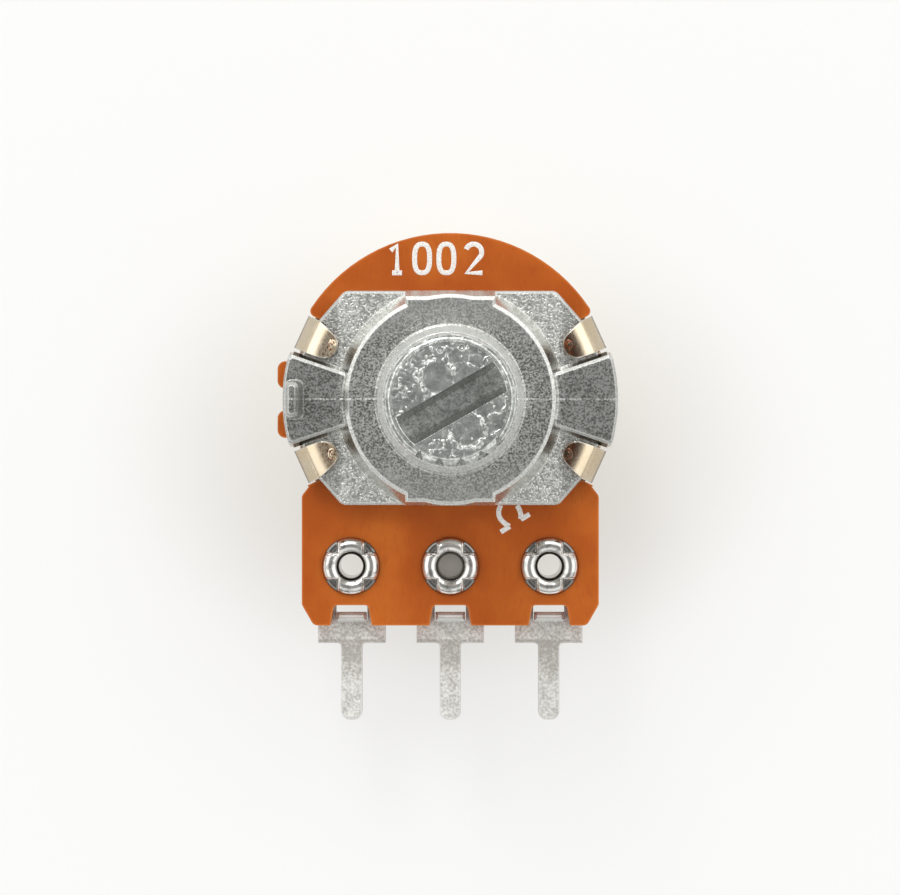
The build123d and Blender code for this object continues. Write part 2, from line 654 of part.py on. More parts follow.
def make_cover():
    flat = COVER_RADIUS - COVER_ROUND
    corner = []
    for angle in range(0, 91, COVER_ROUND_STEP):
        turn = math.radians(angle)
        corner.append((flat + COVER_ROUND * math.sin(turn), COVER_BACK + COVER_ROUND * (1 - math.cos(turn))))
    section = Polygon((0, COVER_BACK), *corner, (COVER_RADIUS, BOARD_BACK), (0, BOARD_BACK), align=None)
    outer = revolve(Plane.XZ * section, Axis.Z)
    inner = prism(Circle(COVER_RADIUS - COVER_SHEET), COVER_BACK + COVER_SHEET, BOARD_BACK)
    inner = chamfer(level_edges(inner, COVER_BACK + COVER_SHEET), (COVER_ROUND - COVER_SHEET) / math.sqrt(2))
    cover = outer - inner
    window = Pos(0, -BIG / 2) * Rectangle(2 * LEAD_WINDOW_HALF, BIG)
    cover -= prism(window, BOARD_BACK - LEAD_WINDOW_HEIGHT, BOARD_BACK + 1)
    for azimuth in CLAW_AZIMUTHS:
        cover += make_claw(azimuth)
    slot_high = STOP_TAB_Y + STOP_TAB_HEIGHT
    slot_low = STOP_TAB_Y - COVER_SHEET
    slot = Pos(0, (slot_low + slot_high) / 2) * Rectangle(STOP_TAB_WIDTH, slot_high - slot_low)
    cover -= prism(slot, COVER_BACK - 1, COVER_BACK + COVER_SHEET)
    return cover + make_stop_tab()


def build():
    parts = {
        "bush_plate": make_bush_plate(),
        "shaft": make_shaft(),
        "retaining_ring": make_retaining_ring(),
        "rotor": make_rotor(),
        "wiper": make_wiper(),
        "track_board": make_board(),
        "resistance_track": make_resistance_track(),
        "collector_print": make_collector(),
        "end_lead_left": make_end_lead(-1),
        "end_lead_right": make_end_lead(1),
        "cover": make_cover(),
    }
    for name, x in TERMINAL_XS.items():
        parts["terminal_" + name] = make_terminal(x)
        parts["eyelet_" + name] = make_eyelet(x)
    return parts


def main():
    os.makedirs("parts", exist_ok=True)
    for name, shape in build().items():
        export_step(shape, f"parts/{name}.step")


main()
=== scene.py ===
import math

import bmesh
import bpy
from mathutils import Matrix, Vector


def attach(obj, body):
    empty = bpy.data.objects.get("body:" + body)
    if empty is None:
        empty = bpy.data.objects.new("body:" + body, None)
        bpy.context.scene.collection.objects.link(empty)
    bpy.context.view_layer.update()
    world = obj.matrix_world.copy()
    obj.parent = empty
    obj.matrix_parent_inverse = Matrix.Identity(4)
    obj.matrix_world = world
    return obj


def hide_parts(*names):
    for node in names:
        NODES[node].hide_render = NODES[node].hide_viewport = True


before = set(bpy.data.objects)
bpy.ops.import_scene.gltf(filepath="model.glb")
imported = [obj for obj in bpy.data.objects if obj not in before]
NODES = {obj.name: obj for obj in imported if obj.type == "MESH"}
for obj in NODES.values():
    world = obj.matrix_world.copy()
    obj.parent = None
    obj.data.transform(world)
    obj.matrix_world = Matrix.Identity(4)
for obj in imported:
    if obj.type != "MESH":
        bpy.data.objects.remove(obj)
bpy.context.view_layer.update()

MM = 0.001

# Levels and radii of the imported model, in millimetres
BOARD_FRONT = -2.0
BUSH_RADIUS = 3.5
THREAD_LOW = 0.5
THREAD_HIGH = 6.7
SHAFT_TIP = 15.0
COVER_BACK = -9.0
EYELET_Y = -8.39
EYELETS = {"eyelet_left": -5.0, "eyelet_middle": 0.0, "eyelet_right": 5.0}

# Camera, straight above the shaft: height in metres, lens and sensor in millimetres
CAMERA_HEIGHT = 0.1544
CAMERA_LENS = 124.22
CAMERA_SENSOR = 36.0
CAMERA_SHIFT_X = -0.00033
CAMERA_SHIFT_Y = -0.0533

# Light: places and sizes in metres, power in watts
KEY_PLACE = (-0.1, 0.3, 0.3)
KEY_SIZE = 0.12
KEY_POWER = 0.25
WHITE_SEEN = 0.98

# Places on the plate, in millimetres, each from where a change starts to where it is full
WING_START = (5.4, 5.8)
LOW_CORNERS = (-0.92, -0.6)
SEAT_ENDS = (2.4, 4.4)
PARTING_WIDTH = 0.05

# Marks on the shaft's tip, in millimetres
EJECTOR_MARKS = ((-0.56, 0.97), (0.8, -1.39))
EJECTOR_RADIUS = 0.78
TIP_PITS = ((-0.46, 2.22), (0.52, 2.32))
BEAD_RADIUS = 2.15

# Places on the terminals, in millimetres
# Painted shade on the pins: where it starts and where it is full, towards the board
PIN_SHADE = (-14.8, -12.6)
PIN_TOP = (-12.3, -12.1)
TAB_LEVEL = (-3.2, -3.0)

# Places on the cover's claws, in millimetres
CLAW_LEVEL = (-1.6, -1.3)
# Painted reflection of the brown board on the claws: the radii where it fades out
CLAW_BOARD_REFLECTION = (6.55, 7.25)
CLAW_CREST = 6.62
DENT_X = 5.9
DENT_Y = 2.72

# Fine thread of the bush, in millimetres
THREAD_PITCH = 0.75
THREAD_DEPTH = 0.36
THREAD_FADE = 0.3
THREAD_ROWS = 108
THREAD_COLUMNS = 96

# Eyelets, in millimetres: their rolled front between its rim and its throat
EYELET_RIM = 1.46
EYELET_THROAT = 0.6
EYELET_RINGS = 44
EYELET_COLUMNS = 240
PETAL_HEIGHT = 0.44
PETAL_CREST = 1.04
PETAL_REACH = 0.44
ROLL_CREST = 1.02
ROLL_REACH = 0.45
CORNER_HEIGHT = 0.2
CORNER_GROOVE = 0.09
CORNER_SIDE = (0.56, 0.62)
RIDGE_HEIGHT = 0.16
RIDGE_SIDE = 0.63

# Radius and height from the board's front: an eyelet's bore, back flange and shank, and the middle one's disc
EYELET_BACK = (
    (0.59, -0.1), (0.58, -0.5), (0.57, -1.94), (1.3, -1.94),
    (1.3, -1.72), (0.96, -1.72), (0.96, -0.02),
)
MIDDLE_DISC = ((0.01, -0.6), (0.575, -0.61), (0.575, -0.8), (0.01, -0.8))

# Casting flash: radius and height from the shaft's tip, and the angles in degrees that it covers
FLASH_OUTLINE = (
    (2.56, -0.02), (2.6, 0.0), (2.7, -0.01), (2.74, -0.1), (2.8, -0.12), (2.9, -0.13),
    (2.96, -0.2), (2.985, -0.45), (2.95, -0.46), (2.92, -0.3), (2.84, -0.26), (2.66, -0.12),
)
FLASH_START = -38
FLASH_SWEEP = 276
FLASH_STEPS = 150

# Print on the board, in millimetres
FIGURE_LOW = 6.38
FIGURE_HIGH = 7.83
ZERO_CENTRES = (-1.42, -0.2)
ZERO_HALF_WIDTH = 0.38
TWO_RADIUS = 0.4
INK_RADIUS = 0.125
INK_FLATNESS = 0.12


def srgb(r, g, b):
    """A linear colour from 8-bit screen values."""
    def linear(v):
        v /= 255
        return v / 12.92 if v <= 0.04045 else ((v + 0.055) / 1.055) ** 2.4
    return (linear(r), linear(g), linear(b), 1.0)


def add_camera():
    data = bpy.data.cameras.new("camera")
    data.sensor_fit = "HORIZONTAL"
    data.sensor_width = CAMERA_SENSOR
    data.lens = CAMERA_LENS
    data.shift_x = CAMERA_SHIFT_X
    data.shift_y = CAMERA_SHIFT_Y
    data.clip_start = 0.01
    data.clip_end = 10
    camera = bpy.data.objects.new("camera", data)
    camera.location = (0, 0, CAMERA_HEIGHT)
    bpy.context.scene.collection.objects.link(camera)
    bpy.context.scene.camera = camera


# Materials

class Nodes:
    """A small helper to chain the nodes of one tree."""

    def __init__(self, tree):
        self.tree = tree

    def new(self, kind):
        return self.tree.nodes.new("ShaderNode" + kind)

    def put(self, socket, value):
        """Links another socket to this one, or sets it to a value."""
        if isinstance(value, bpy.types.NodeSocket):
            self.tree.links.new(value, socket)
        else:
            socket.default_value = value

    def ramp(self, value, low, high, to_low=0.0, to_high=1.0):
        """A smooth step from one value to another."""
        node = self.new("MapRange")
        node.interpolation_type = "SMOOTHSTEP"
        self.put(node.inputs["Value"], value)
        node.inputs["From Min"].default_value = low
        node.inputs["From Max"].default_value = high
        node.inputs["To Min"].default_value = to_low
        node.inputs["To Max"].default_value = to_high
        return node.outputs[0]

    def math(self, kind, a, b=0.0, c=0.0):
        node = self.new("Math")
        node.operation = kind
        for socket, value in zip(node.inputs, (a, b, c)):
            self.put(socket, value)
        return node.outputs[0]

    def chain(self, kind, first, *others):
        for value in others:
            first = self.math(kind, first, value)
        return first

    def plus(self, *values):
        return self.chain("ADD", *values)

    def minus(self, a, b):
        return self.math("SUBTRACT", a, b)

    def times(self, *values):
        return self.chain("MULTIPLY", *values)

    def most(self, *values):
        return self.chain("MAXIMUM", *values)

    def blend(self, fac, a, b):
        """A number between two others."""
        node = self.new("Mix")
        self.put(node.inputs["Factor"], fac)
        self.put(node.inputs[2], a)
        self.put(node.inputs[3], b)
        return node.outputs[0]


class Shader(Nodes):
    """A material. Its nodes measure places and sizes in millimetres, in the part's own frame."""

    def __init__(self, name):
        self.material = bpy.data.materials.new(name)
        self.material.use_nodes = True
        super().__init__(self.material.node_tree)
        self.tree.nodes.clear()
        self.surface = self.new("BsdfPrincipled")
        output = self.new("OutputMaterial")
        self.tree.links.new(self.surface.outputs[0], output.inputs["Surface"])
        self.coords = self.new("TexCoord").outputs["Object"]

    def set(self, **values):
        """Sets sockets of the surface, such as Base_Color."""
        for key, value in values.items():
            self.put(self.surface.inputs[key.replace("_", " ")], value)

    def colour(self):
        """What the surface's colour is linked to so far."""
        return self.surface.inputs["Base Color"].links[0].from_socket

    def noise(self, size_mm, detail=2.0, rough=0.5, stretch=(1, 1, 1)):
        node = self.new("TexNoise")
        node.inputs["Scale"].default_value = 1.0
        node.inputs["Detail"].default_value = detail
        node.inputs["Roughness"].default_value = rough
        mapping = self.new("Mapping")
        mapping.inputs["Scale"].default_value = [1 / (size_mm * MM * s) for s in stretch]
        self.tree.links.new(self.coords, mapping.inputs["Vector"])
        self.tree.links.new(mapping.outputs[0], node.inputs["Vector"])
        return node.outputs["Fac"]

    def mix(self, fac, a, b):
        """A colour between two others."""
        node = self.new("Mix")
        node.data_type = "RGBA"
        self.put(node.inputs["Factor"], fac)
        self.put(node.inputs[6], a)
        self.put(node.inputs[7], b)
        return node.outputs[2]

    def axis(self, letter):
        """Place along one axis."""
        node = self.new("SeparateXYZ")
        self.tree.links.new(self.coords, node.inputs[0])
        return self.times(node.outputs[letter], 1 / MM)

    def apart(self, letter):
        """Distance from the middle along one axis."""
        return self.math("ABSOLUTE", self.axis(letter))

    def length(self, x, y):
        return self.math("SQRT", self.plus(self.times(x, x), self.times(y, y)))

    def near(self, x, y, radius):
        """Distance in the XY plane from a circle's rim."""
        centre = self.length(self.minus(self.axis("X"), x), self.minus(self.axis("Y"), y))
        return self.math("ABSOLUTE", self.minus(centre, radius))

    def bevel(self, radius_mm):
        """A normal that rounds off sharp edges."""
        node = self.new("Bevel")
        node.samples = 4
        node.inputs["Radius"].default_value = radius_mm * MM
        return node.outputs[0]

    def edge(self, radius_mm):
        """How far the surface is turned by rounding off its sharp edges, 0 away from them."""
        node = self.new("VectorMath")
        node.operation = "DISTANCE"
        self.tree.links.new(self.bevel(radius_mm), node.inputs[0])
        self.tree.links.new(self.new("NewGeometry").outputs["Normal"], node.inputs[1])
        return node.outputs["Value"]

    def slope(self, steep, level):
        """1 where the surface leans over, 0 where it faces up or down."""
        node = self.new("SeparateXYZ")
        self.tree.links.new(self.new("NewGeometry").outputs["Normal"], node.inputs[0])
        return self.ramp(self.math("ABSOLUTE", node.outputs["Z"]), steep, level, 1.0, 0.0)

    def bump(self, height, strength, depth_mm, normal=None):
        node = self.new("Bump")
        node.inputs["Strength"].default_value = strength
        node.inputs["Distance"].default_value = depth_mm * MM
        self.put(node.inputs["Height"], height)
        if normal is not None:
            self.put(node.inputs["Normal"], normal)
        return node.outputs[0]


def cast_zinc(name, light, dark, rough, grain_mm, contrast, edge_mm):
    """Die-cast zinc: a grey skin with a fine sparkling grain over darker clouds."""
    s = Shader(name)
    s.grain = s.noise(grain_mm, 2, 0.6)
    coarse = s.ramp(s.noise(grain_mm * 2.6, 2), 0.35, 0.65, -0.2, 0.2)
    cloud = s.ramp(s.noise(2.2, 3), 0.3, 0.7, 0.35, 0.65)
    fine = s.ramp(s.grain, 0.34, 0.66, -contrast, contrast)
    s.set(Base_Color=s.mix(s.plus(cloud, fine, coarse), dark, light), Metallic=1.0)
    s.set(Roughness=s.ramp(s.grain, 0.3, 0.7, rough + 0.08, rough - 0.08))
    s.skin = s.bump(s.noise(0.6, 2), 1.0, 0.012, s.bevel(edge_mm))
    return s


def plate_zinc():
    """The plate's skin: rough low corners, a smoother seat and a parting line, with painted light on the low
    corners and the seat's ends, painted highlights along the edges and painted shade darkening the wings.
    """
    s = cast_zinc("cast_plate", srgb(255, 255, 252), srgb(128, 129, 124), 0.3, 0.11, 0.62, 0.07)
    wing = s.ramp(s.apart("X"), *WING_START)
    low = s.ramp(s.axis("Z"), *LOW_CORNERS, 1.0, 0.0)
    line = s.ramp(s.apart("Y"), 0.0, PARTING_WIDTH, 1.0, 0.0)
    slope = s.slope(0.92, 0.99)
    ends = s.ramp(s.apart("Y"), *SEAT_ENDS, 0.0, 0.3)
    # Painted light: the low corners and the seat's ends are painted lighter.
    lit = s.mix(s.most(s.times(low, 0.26), ends), s.colour(), srgb(252, 253, 248))
    lit = s.mix(s.times(slope, 0.75), lit, srgb(206, 207, 203))
    # Painted highlights along the sharp edges.
    rim = s.times(s.ramp(s.edge(0.12), 0.03, 0.2), 0.6)
    # Painted shade: the wings are painted darker.
    wing_shade = s.mix(s.times(wing, 0.3), lit, srgb(120, 120, 116))
    s.set(Base_Color=s.mix(rim, wing_shade, srgb(255, 255, 252)))
    depth = s.plus(s.times(low, 3.2), s.minus(1.3, s.times(wing, 0.5)))
    depth = s.times(depth, s.minus(1.0, s.times(slope, 0.85)))
    height = s.plus(s.times(s.grain, depth), s.times(line, 0.9))
    s.set(Normal=s.bump(height, 1.0, 0.011, s.skin))
    return s


def shaft_zinc():
    """The shaft's skin: smooth lumps, broken rims round two ejector marks and small pits on the tip."""
    s = cast_zinc("cast_shaft", srgb(246, 248, 244), srgb(170, 172, 168), 0.24, 0.16, 0.25, 0.03)
    broken = s.ramp(s.noise(0.5, 2), 0.42, 0.6)
    rims = s.most(*[s.ramp(s.near(x, y, EJECTOR_RADIUS), 0.0, 0.2, 1.0, 0.0) for x, y in EJECTOR_MARKS])
    pits = s.most(*[s.ramp(s.near(x, y, 0.0), 0.04, 0.16, 1.0, 0.0) for x, y in TIP_PITS])
    ring = s.ramp(s.near(0, 0, BEAD_RADIUS), 0.0, 0.6, 1.0, 0.0)
    beads = s.times(s.ramp(s.noise(0.34, 1), 0.56, 0.66), ring)
    tip = s.ramp(s.axis("Z"), SHAFT_TIP - 0.2, SHAFT_TIP - 0.02)
    marks = s.plus(s.times(rims, broken), s.times(beads, 1.1))
    marks = s.times(s.minus(marks, s.times(pits, 2.0)), tip)
    lumps = s.times(s.noise(0.6, 2, 0.4), s.math("MULTIPLY_ADD", tip, 2.4, 0.6))
    height = s.plus(lumps, marks, s.times(s.grain, 0.3))
    s.set(Normal=s.bump(height, 1.0, 0.05, s.skin))
    return s


def phenolic():
    """Orange-brown paper laminate, glossy and a little cloudy, paler along its punched edges, partly from
    their burr and partly as a painted highlight.
    """
    s = Shader("phenolic_laminate")
    cloud = s.noise(4.0, 3)
    fibre = s.noise(0.14, 2, 0.6, (1, 4, 1))
    base = s.mix(s.ramp(cloud, 0.35, 0.65), srgb(184, 88, 22), srgb(202, 106, 34))
    colour = s.mix(s.ramp(fibre, 0.5, 0.75, 0.0, 0.25), base, srgb(158, 68, 16))
    # Painted highlight along the punched edges, partly their paler burr.
    rim = s.ramp(s.edge(0.14), 0.02, 0.25)
    s.set(Base_Color=s.mix(s.times(rim, 0.7), colour, srgb(216, 140, 76)), Roughness=0.38)
    s.set(Normal=s.bump(fibre, 0.1, 0.01, s.bump(cloud, 0.5, 0.08)), Specular_IOR_Level=0.3)
    s.set(Subsurface_Weight=0.25, Subsurface_Radius=(1.0, 0.45, 0.12), Subsurface_Scale=0.0005)
    return s


def sheet_metal(name, light, dark, rough, grain_mm, bump):
    s = Shader(name)
    haze = s.noise(grain_mm * 6, 3)
    grain = s.noise(grain_mm, 3, 0.6)
    s.set(Base_Color=s.mix(s.ramp(haze, 0.3, 0.7), dark, light), Metallic=1.0)
    s.set(Roughness=s.ramp(grain, 0.3, 0.7, rough * 0.75, rough * 1.25))
    s.set(Normal=s.bump(grain, bump, 0.01, s.bevel(0.05)))
    return s


def bright_tin():
    """The eyelets' bright plating, dark in patches, with painted shade in the low corners between their
    petals.
    """
    s = sheet_metal("bright_tin", srgb(248, 246, 242), srgb(226, 224, 220), 0.1, 0.1, 0.2)
    patch = s.ramp(s.noise(0.5, 3, 0.6), 0.52, 0.64, 0.0, 0.5)
    # Painted shade in the low corners between the petals; the dark patches are at random.
    low = s.ramp(s.axis("Z"), BOARD_FRONT + 0.14, BOARD_FRONT + 0.26, 0.8, 0.0)
    s.set(Base_Color=s.mix(s.most(patch, low), s.colour(), srgb(92, 88, 84)))
    return s


def matte_tin():
    """Tumbled tin on the terminals, with painted shade on the pins towards the board, painted highlights
    along the edges and on the tabs, and painted shade on the steep sides and along the outlines.
    """
    s = Shader("matte_tin")
    scuff = s.noise(0.5, 3, 0.65)
    grain = s.noise(0.14, 3, 0.65)
    # Painted shade on the pins towards the board.
    upper = s.times(s.ramp(s.axis("Y"), *PIN_SHADE), s.ramp(s.axis("Y"), *PIN_TOP, 1.0, 0.0))
    tone = s.plus(s.ramp(scuff, 0.35, 0.65, 0.45, 0.85), s.ramp(grain, 0.35, 0.65, -0.4, 0.3))
    # Painted highlights: the edges and the tabs are painted brighter.
    rim = s.ramp(s.edge(0.1), 0.02, 0.2)
    tab = s.ramp(s.axis("Z"), *TAB_LEVEL)
    tone = s.plus(s.minus(tone, s.times(upper, 0.6)), rim, s.times(tab, 1.2))
    skin = s.mix(tone, srgb(196, 193, 186), srgb(255, 255, 252))
    # Painted shade: the steep sides, the tabs' edges and the outlines are painted dark.
    outline = s.times(s.ramp(s.edge(0.05), 0.1, 0.5), 0.7)
    walls = s.most(s.times(tab, rim), s.slope(0.3, 0.6), outline)
    s.set(Base_Color=s.mix(s.times(walls, 0.8), skin, srgb(84, 80, 74)), Metallic=0.3)
    s.set(Roughness=s.ramp(grain, 0.3, 0.7, 0.3, 0.5))
    s.set(Normal=s.bump(scuff, 1.0, 0.03, s.bump(grain, 0.8, 0.01, s.bevel(0.1))))
    return s


def gold_plate():
    """The cover's pale gold plating. Its claws arch over the plate and are dented near their tips, with a
    painted reflection of the brown board near the tips, painted highlights along their rims and painted shade
    on their steep sides.
    """
    s = Shader("gold_plate")
    grain = s.noise(0.1, 3, 0.6)
    scratch = s.noise(0.09, 3, 0.75, (1, 2, 1))
    radius = s.near(0, 0, 0)
    claw = s.ramp(s.axis("Z"), *CLAW_LEVEL)
    right = s.ramp(s.axis("X"), -0.1, 0.1)
    # Painted reflection of the brown board on the claws' inner part, near their tips.
    inner = s.times(s.ramp(radius, *CLAW_BOARD_REFLECTION, 1.0, 0.0), claw)
    reflected_speckle = s.times(s.ramp(scratch, 0.46, 0.6), inner)
    # Painted highlights along the claws' rims, and painted shade on their steep sides.
    rim = s.times(s.ramp(s.edge(0.12), 0.05, 0.4), claw)
    walls = s.times(s.slope(0.3, 0.6), claw)
    plate = s.mix(s.ramp(s.noise(1.2, 2), 0.3, 0.7), srgb(242, 222, 190), srgb(250, 234, 208))
    # Painted reflection of the brown board: dark on the right-hand claws, speckled on all.
    plate = s.mix(s.times(inner, right, 0.95), plate, srgb(84, 68, 56))
    plate = s.mix(reflected_speckle, plate, srgb(140, 76, 46))
    plate = s.mix(rim, plate, srgb(255, 250, 240))
    s.set(Base_Color=s.mix(s.times(walls, 0.8), plate, srgb(110, 86, 64)), Metallic=1.0)
    s.set(Roughness=s.ramp(grain, 0.3, 0.7, 0.12, 0.2))
    away = s.minus(radius, CLAW_CREST)
    arch = s.times(away, away, -0.4, claw)
    across = s.times(s.minus(s.apart("X"), DENT_X), 1.4)
    dent = s.ramp(s.length(across, s.minus(s.apart("Y"), DENT_Y)), 0.06, 0.3, 0.14, 0.0)
    height = s.plus(arch, s.times(dent, claw))
    s.set(Normal=s.bump(grain, 0.3, 0.012, s.bump(height, 1.0, 1.0, s.bevel(0.13))))
    return s


def white_ink():
    s = Shader("white_ink")
    ragged = s.noise(0.08, 2)
    s.set(Base_Color=s.mix(s.ramp(ragged, 0.35, 0.6), srgb(226, 218, 210), srgb(250, 248, 246)))
    s.set(Normal=s.bump(ragged, 0.2, 0.01), Roughness=0.6)
    return s


def plain(name, colour, rough, metallic=0.0):
    s = Shader(name)
    grain = s.noise(0.1, 2)
    s.set(Base_Color=colour, Metallic=metallic, Roughness=s.ramp(grain, 0.3, 0.7, rough - 0.06, rough + 0.06))
    s.set(Normal=s.bump(grain, 0.1, 0.01))
    return s


def coat(shader, *names):
    """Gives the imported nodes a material."""
    for name in names:
        slots = NODES[name].material_slots
        for index in range(len(slots)):
            slots[index].material = shader.material


def paint_nodes(shaft):
    spring = sheet_metal("spring_steel", srgb(180, 180, 182), srgb(150, 150, 152), 0.3, 0.2, 0.1)
    contact = sheet_metal("wiper_metal", srgb(222, 206, 170), srgb(200, 184, 150), 0.25, 0.2, 0.1)
    silver = plain("silver_print", srgb(190, 190, 188), 0.4, 0.6)
    coat(shaft, "shaft")
    coat(phenolic(), "track_board")
    coat(gold_plate(), "cover")
    coat(matte_tin(), "terminal_left", "terminal_middle", "terminal_right")
    coat(spring, "retaining_ring")
    coat(contact, "wiper")
    coat(plain("rotor_moulding", srgb(40, 36, 34), 0.5), "rotor")
    coat(plain("carbon_print", srgb(24, 24, 26), 0.6), "resistance_track")
    coat(silver, "collector_print", "end_lead_left", "end_lead_right")


# Pieces

def add_piece(name, mesh, shader, body, crease=32.0):
    """Puts a mesh, given in metres, on a body with its material, smooth up to the crease angle."""
    mesh.shade_smooth()
    mesh.set_sharp_from_angle(angle=math.radians(crease))
    mesh.materials.clear()
    mesh.materials.append(shader.material)
    piece = bpy.data.objects.new(name, mesh)
    bpy.context.scene.collection.objects.link(piece)
    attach(piece, body)
    return piece


def loft(name, rings, closed=True):
    """A mesh through closed rings of points in millimetres. Where closed, the last ring joins the first."""
    count = len(rings[0])
    vertices = [tuple(v * MM for v in point) for ring in rings for point in ring]
    faces = []
    for i in range(len(rings) if closed else len(rings) - 1):
        low = i * count
        high = (i + 1) % len(rings) * count
        for j in range(count):
            k = (j + 1) % count
            faces.append((low + j, low + k, high + k, high + j))
    mesh = bpy.data.meshes.new(name)
    mesh.from_pydata(vertices, [], faces)
    return mesh


def turn(radius, height, angle):
    return (radius * math.cos(angle), radius * math.sin(angle), height)


def smooth(value, low, high):
    t = min(1.0, max(0.0, (value - low) / (high - low)))
    return t * t * (3 - 2 * t)


def bell(value, centre, width):
    return math.exp(-(((value - centre) / width) ** 2))


def eyelet_height(radius, angle):
    """Height of an eyelet's rolled front: four petals, lower corners and a ridge along each petal's side."""
    side = min(abs(radius * math.cos(angle)), abs(radius * math.sin(angle)))
    petal = PETAL_HEIGHT * max(0.0, 1 - ((radius - PETAL_CREST) / PETAL_REACH) ** 2) ** 0.7
    roll = math.sqrt(max(0.0, 1 - ((radius - ROLL_CREST) / ROLL_REACH) ** 2))
    corner = roll * (CORNER_HEIGHT - CORNER_GROOVE * bell(radius, 1.1, 0.16))
    part = smooth(side, *CORNER_SIDE)
    ridge = RIDGE_HEIGHT * bell(side, RIDGE_SIDE, 0.035) * roll
    return petal * (1 - part) + corner * part + ridge * part


def on_board(rings, x):
    """Moves rings from the board's front at the origin to an eyelet's place."""
    return [[(px + x, py + EYELET_Y, pz + BOARD_FRONT) for px, py, pz in ring] for ring in rings]


def add_eyelets(shader, inside):
    """Hollow rivets with their front rolled out in four petals, and a disc in the middle one's bore."""
    angles = [2 * math.pi * (j + 0.5) / EYELET_COLUMNS for j in range(EYELET_COLUMNS)]
    step = (EYELET_RIM - EYELET_THROAT) / EYELET_RINGS
    front = [EYELET_RIM - step * i for i in range(EYELET_RINGS + 1)]
    rings = [[turn(r, eyelet_height(r, a), a) for a in angles] for r in front]
    rings += [[turn(r, z, a) for a in angles] for r, z in EYELET_BACK]
    for name, x in EYELETS.items():
        mesh = loft(name + "_rolled", on_board(rings, x))
        piece = add_piece(name + "_rolled", mesh, shader, "housing", 50.0)
        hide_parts(name)
    disc = [[turn(r, z, a) for a in angles[::4]] for r, z in MIDDLE_DISC]
    mesh = loft("middle_lead_end", on_board(disc, EYELETS["eyelet_middle"]))
    add_piece("middle_lead_end", mesh, inside, "housing")


def thread_radius(height, angle):
    """Radius of the bush's fine thread, which fades out at both ends."""
    phase = (height / THREAD_PITCH - angle / (2 * math.pi)) % 1
    cut = 1 - abs(2 * phase - 1)
    fade = smooth(height - THREAD_LOW, 0.0, THREAD_FADE) * smooth(THREAD_HIGH - height, 0.0, THREAD_FADE)
    return BUSH_RADIUS - THREAD_DEPTH * fade * smooth(cut, 0.08, 1.0)


def add_threaded_plate(shader):
    """The cast plate as packed, without the bush's plain wall, and a fine thread in that wall's place."""
    mesh = NODES["bush_plate"].data.copy()
    form = bmesh.new()
    form.from_mesh(mesh)
    wall = [face for face in form.faces if abs(face.normal.z) < 0.01 and all(
        abs(math.hypot(v.co.x, v.co.y) / MM - BUSH_RADIUS) < 0.01 and v.co.z / MM > THREAD_LOW - 0.01
        for v in face.verts)]
    bmesh.ops.delete(form, geom=wall, context="FACES")
    form.to_mesh(mesh)
    form.free()
    mesh.materials.clear()
    mesh.materials.append(shader.material)
    plate = bpy.data.objects.new("threaded_plate", mesh)
    bpy.context.scene.collection.objects.link(plate)
    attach(plate, "housing")
    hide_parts("bush_plate")
    heights = [THREAD_LOW + (THREAD_HIGH - THREAD_LOW) * i / THREAD_ROWS for i in range(THREAD_ROWS + 1)]
    angles = [2 * math.pi * j / THREAD_COLUMNS for j in range(THREAD_COLUMNS)]
    rings = [[turn(thread_radius(z, a), z, a) for a in angles] for z in heights]
    add_piece("bush_thread", loft("bush_thread", rings, closed=False), shader, "housing", 60.0)


def add_tip_flash(shader):
    """A thin skin of casting flash round most of the shaft's tip, over the ends of the knurl's grooves."""
    angles = [math.radians(FLASH_START + FLASH_SWEEP * j / FLASH_STEPS) for j in range(FLASH_STEPS + 1)]
    rings = [[turn(r, SHAFT_TIP + z, a) for r, z in FLASH_OUTLINE] for a in angles]
    mesh = loft("tip_flash", rings, closed=False)
    count = len(FLASH_OUTLINE)
    form = bmesh.new()
    form.from_mesh(mesh)
    form.verts.ensure_lookup_table()
    form.faces.new([form.verts[j] for j in range(count)])
    form.faces.new([form.verts[len(form.verts) - count + j] for j in range(count)])
    form.to_mesh(mesh)
    form.free()
    add_piece("tip_flash", mesh, shader, "spindle", 15.0)


# Printed marks on the board

def stroke(points, closed=False):
    """A round printed line along some points in millimetres."""
    curve = bpy.data.curves.new("stroke", "CURVE")
    curve.dimensions = "3D"
    curve.bevel_depth = INK_RADIUS * MM
    curve.bevel_resolution = 3
    curve.use_fill_caps = True
    spline = curve.splines.new("POLY")
    spline.points.add(len(points) - 1)
    for point, (x, y) in zip(spline.points, points):
        point.co = (x * MM, y * MM, 0, 1)
    spline.use_cyclic_u = closed
    line = bpy.data.objects.new("stroke", curve)
    mesh = bpy.data.meshes.new_from_object(line)
    bpy.data.objects.remove(line)
    return mesh


def arc(cx, cy, rx, ry, start, end, power=1.0, steps=24):
    """Points along an oval, squarer where the power is under 1, between two angles in degrees."""
    points = []
    for i in range(steps + 1):
        t = math.radians(start + (end - start) * i / steps)
        c = math.cos(t)
        s = math.sin(t)
        x = cx + rx * math.copysign(abs(c) ** power, c)
        y = cy + ry * math.copysign(abs(s) ** power, s)
        points.append((x, y))
    return points


def figure_lines():
    """Open lines of the one, with its foot, and of the two."""
    bow = arc(1.18, FIGURE_HIGH - TWO_RADIUS, TWO_RADIUS, TWO_RADIUS, 160, -35)
    return [
        [(-3.0, 7.5), (-2.68, 7.76), (-2.68, FIGURE_LOW)],
        [(-2.93, FIGURE_LOW), (-2.43, FIGURE_LOW)],
        bow + [(0.82, FIGURE_LOW), (1.62, FIGURE_LOW)],
    ]


def zero_loops():
    middle = (FIGURE_LOW + FIGURE_HIGH) / 2
    half = (FIGURE_HIGH - FIGURE_LOW) / 2
    return [arc(cx, middle, ZERO_HALF_WIDTH, half, 0, 360, 0.75)[:-1] for cx in ZERO_CENTRES]


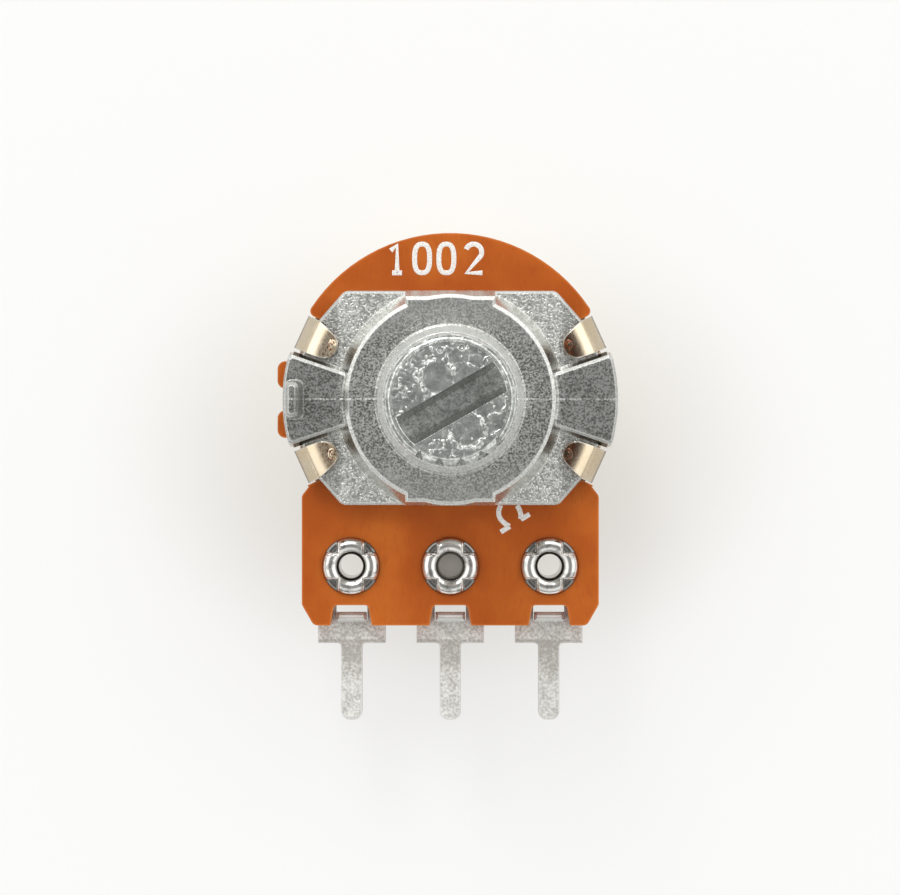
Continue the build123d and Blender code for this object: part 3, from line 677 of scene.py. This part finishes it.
def sign_lines():
    """Open lines of the turned unit sign: a side and a foot, twice."""
    return [
        [(2.53, -5.33), (2.44, -5.59), (2.44, -5.81), (2.52, -6.01),
         (2.66, -6.17), (2.83, -6.3), (2.98, -6.38)],
        [(2.54, -6.67), (3.0, -6.39)],
        [(3.37, -5.34), (3.49, -5.56), (3.55, -5.78), (3.55, -6.0)],
        [(3.55, -6.04), (4.0, -5.77)],
    ]


def add_marks():
    """Four plain figures above the plate, and a turned unit sign that starts under the plate's edge."""
    form = bmesh.new()
    strokes = [stroke(line) for line in figure_lines() + sign_lines()]
    strokes += [stroke(loop, True) for loop in zero_loops()]
    for mesh in strokes:
        form.from_mesh(mesh)
        bpy.data.meshes.remove(mesh)
    for vertex in form.verts:
        vertex.co.z = BOARD_FRONT * MM + vertex.co.z * INK_FLATNESS
    marks = bpy.data.meshes.new("printed_marks")
    form.to_mesh(marks)
    form.free()
    add_piece("printed_marks", marks, white_ink(), "housing", 60.0)


# Studio

def add_stage():
    """A broad sheet of glowing pale paper, with a painted shadow that makes it a little darker and warmer in
    an oval round the part.
    """
    bpy.ops.mesh.primitive_plane_add(size=2.0, location=(0, 0, COVER_BACK * MM))
    floor = bpy.context.object
    floor.name = "floor"
    s = Shader("floor_paper")
    away = s.length(s.axis("X"), s.times(s.plus(s.axis("Y"), 2.5), 1.5))
    s.set(Base_Color=(0.42, 0.42, 0.415, 1), Roughness=0.95)
    # Painted shadow: darker and warmer in an oval round the part.
    s.set(Emission_Color=s.mix(s.ramp(away, 9.0, 20.0), (1, 0.985, 0.94, 1), (1, 1, 0.99, 1)))
    s.set(Emission_Strength=s.ramp(away, 8.0, 20.0, 0.42, 0.53))
    floor.data.materials.append(s.material)


def add_world():
    """A white tent, brighter on its far side, with a dark opening overhead and a dark horizon."""
    world = bpy.data.worlds.new("studio")
    world.use_nodes = True
    n = Nodes(world.node_tree)
    background = n.tree.nodes["Background"]
    background.inputs["Color"].default_value = (1, 1, 0.985, 1)
    direction = n.new("SeparateXYZ")
    n.put(direction.inputs[0], n.new("TexCoord").outputs["Generated"])
    side = n.math("MULTIPLY_ADD", direction.outputs["Y"], 0.6, 1.3)
    opening = n.ramp(direction.outputs["Z"], 0.72, 0.96)
    horizon = n.ramp(direction.outputs["Z"], 0.0, 0.4, 0.3, 1.0)
    tent = n.blend(opening, n.times(side, horizon), 0.3)
    straight = n.new("LightPath").outputs["Is Camera Ray"]
    n.put(background.inputs["Strength"], n.blend(straight, tent, WHITE_SEEN))
    bpy.context.scene.world = world


def add_key():
    """One soft lamp on the far left, aimed at the part."""
    data = bpy.data.lights.new("key", "AREA")
    data.shape = "RECTANGLE"
    data.size = KEY_SIZE
    data.size_y = KEY_SIZE
    data.energy = KEY_POWER
    key = bpy.data.objects.new("key", data)
    key.location = KEY_PLACE
    key.rotation_euler = (-Vector(KEY_PLACE)).to_track_quat("-Z", "Y").to_euler()
    bpy.context.scene.collection.objects.link(key)


bpy.context.scene.view_settings.view_transform = "Standard"
add_camera()
PLATE = plate_zinc()
SHAFT = shaft_zinc()
BRIGHT = bright_tin()
paint_nodes(SHAFT)
add_threaded_plate(PLATE)
add_eyelets(BRIGHT, plain("dull_tin", srgb(236, 230, 220), 0.6))
add_tip_flash(SHAFT)
add_marks()
add_stage()
add_world()
add_key()
